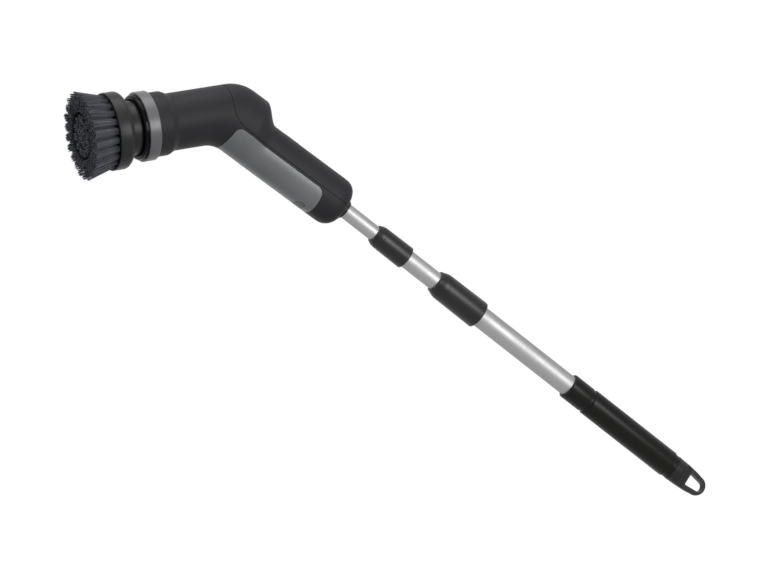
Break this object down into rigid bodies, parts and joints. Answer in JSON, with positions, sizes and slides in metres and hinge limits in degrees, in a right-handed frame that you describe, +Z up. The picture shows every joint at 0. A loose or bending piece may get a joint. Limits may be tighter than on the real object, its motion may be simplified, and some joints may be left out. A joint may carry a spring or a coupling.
{
  "type": "electric scrub brush",
  "caption": "Cordless scrub brush: a motor-driven round brush on a bent neck, with the battery in its short handle and a telescopic pole with a hand grip.",
  "frame": {"origin": "middle of the long hand grip, on the pole's axis", "axes": "-X the way the brush faces, along the head's axis; +Z up, towards the head's top; Y across, square to the plane of the bend"},
  "size_m": [0.6139, 0.0888, 0.5077],
  "materials": {
    "fitting_black": "black moulded plastic",
    "housing_black": "matte black-grey moulded plastic",
    "gloss_black": "glossy black plastic",
    "trim_grey": "mid grey plastic, satin",
    "soft_grey": "soft grey rubber overmould",
    "grip_black": "black rubber, matte",
    "cover_rubber": "black rubber, matte",
    "button_rubber": "dark rubber, matte",
    "seal_rubber": "black rubber",
    "bristle_slate": "slate grey nylon strands",
    "satin_aluminium": "satin",
    "steel": "plain",
    "bronze": "sintered",
    "nylon": "natural",
    "magnet_grey": "dark ferrite",
    "copper": "wound and lacquered",
    "cell_wrap": "plastic wrap",
    "board_green": "green lacquer"
  },
  "bodies": {
    "grip": {"outer_tube": "satin_aluminium", "grip_sleeve": "grip_black", "grip_front_ring": "grip_black", "end_cap": "fitting_black", "outer_collet": "nylon"},
    "outer_collar": {"outer_collar": "fitting_black"},
    "middle": {"middle_tube": "satin_aluminium", "middle_tube_plug": "nylon", "inner_collet": "nylon"},
    "inner_collar": {"inner_collar": "fitting_black"},
    "drive": {"drive_hub": "fitting_black", "output_shaft": "steel", "planet_carrier": "steel"},
    "brush": {"brush_base": "fitting_black", "outer_bristles": "bristle_slate", "inner_bristles": "bristle_slate"},
    "rotor": {"armature": "copper", "motor_shaft": "steel", "sun_pinion": "steel"},
    "planet_1": {"planet_gear_1": "nylon"},
    "planet_2": {"planet_gear_2": "nylon"},
    "planet_3": {"planet_gear_3": "nylon"},
    "power_button": {"power_button": "button_rubber"},
    "port_cover": {"charge_port_cover": "cover_rubber"},
    "head": {"nose_bezel": "gloss_black", "nose_ring": "trim_grey", "front_housing": "housing_black", "back_cover": "housing_black", "grip_panel": "soft_grey", "pole_socket": "fitting_black", "inner_tube": "satin_aluminium", "button_bezel": "trim_grey", "power_switch": "fitting_black", "control_board": "board_green", "battery_cell_1": "cell_wrap", "battery_cell_2": "cell_wrap", "battery_holder": "nylon", "charge_socket": "steel", "motor_can": "steel", "motor_end_cap": "nylon", "motor_magnet": "magnet_grey", "gearbox_plate": "satin_aluminium", "ring_gear": "nylon", "front_bearing": "steel", "rear_bush": "bronze", "shaft_seal": "seal_rubber", "nose_plate": "housing_black", "tube_pin": "steel", "inner_tube_plug": "nylon", "housing_screw_1": "steel", "housing_screw_2": "steel", "housing_screw_3": "steel"}
  },
  "joints": [
    {"name": "outer_lock", "type": "hinge", "parent": "grip", "child": "outer_collar", "pos_m": [-0.18721, 0, 0.18721], "axis": [0.7071, 0, -0.7071], "range_deg": [0, 90]},
    {"name": "middle_slide", "type": "slide", "parent": "grip", "child": "middle", "axis": [-0.7071, 0, 0.7071], "range_m": [-0.035, 0.2]},
    {"name": "inner_lock", "type": "hinge", "parent": "middle", "child": "inner_collar", "pos_m": [-0.24491, 0, 0.24491], "axis": [0.7071, 0, -0.7071], "range_deg": [0, 90]},
    {"name": "inner_slide", "type": "slide", "parent": "middle", "child": "head", "axis": [-0.7071, 0, 0.7071], "range_m": [-0.035, 0.2]},
    {"name": "brush_spin", "type": "hinge", "parent": "head", "child": "drive", "pos_m": [-0.39302, 0, 0.38647], "axis": [-1, 0, 0], "continuous": true},
    {"name": "brush_pull", "type": "slide", "parent": "drive", "child": "brush", "axis": [-1, 0, 0], "range_m": [0, 0.025]},
    {"name": "motor_spin", "type": "hinge", "parent": "head", "child": "rotor", "pos_m": [-0.39302, 0, 0.38647], "axis": [-1, 0, 0], "continuous": true},
    {"name": "planet_1_spin", "type": "hinge", "parent": "drive", "child": "planet_1", "pos_m": [-0.43982, 0.0137, 0.38647], "axis": [-1, 0, 0], "continuous": true},
    {"name": "planet_2_spin", "type": "hinge", "parent": "drive", "child": "planet_2", "pos_m": [-0.43982, -0.00685, 0.37461], "axis": [-1, 0, 0], "continuous": true},
    {"name": "planet_3_spin", "type": "hinge", "parent": "drive", "child": "planet_3", "pos_m": [-0.43982, -0.00685, 0.39834], "axis": [-1, 0, 0], "continuous": true},
    {"name": "button_press", "type": "slide", "parent": "head", "child": "power_button", "axis": [-0.6871, 0, -0.7266], "range_m": [0, 0.0012], "stiffness_N_per_m": 400, "springref_m": -0.002},
    {"name": "port_open", "type": "hinge", "parent": "head", "child": "port_cover", "pos_m": [-0.32104, 0.0119, 0.28721], "axis": [0.7266, 0, -0.6871], "range_deg": [0, 110]}
  ],
  "couplings": [
    {"joint": "motor_spin", "follows": "brush_spin", "ratio": 4.6667},
    {"joint": "planet_1_spin", "follows": "brush_spin", "ratio": -2.75},
    {"joint": "planet_2_spin", "follows": "brush_spin", "ratio": -2.75},
    {"joint": "planet_3_spin", "follows": "brush_spin", "ratio": -2.75}
  ]
}
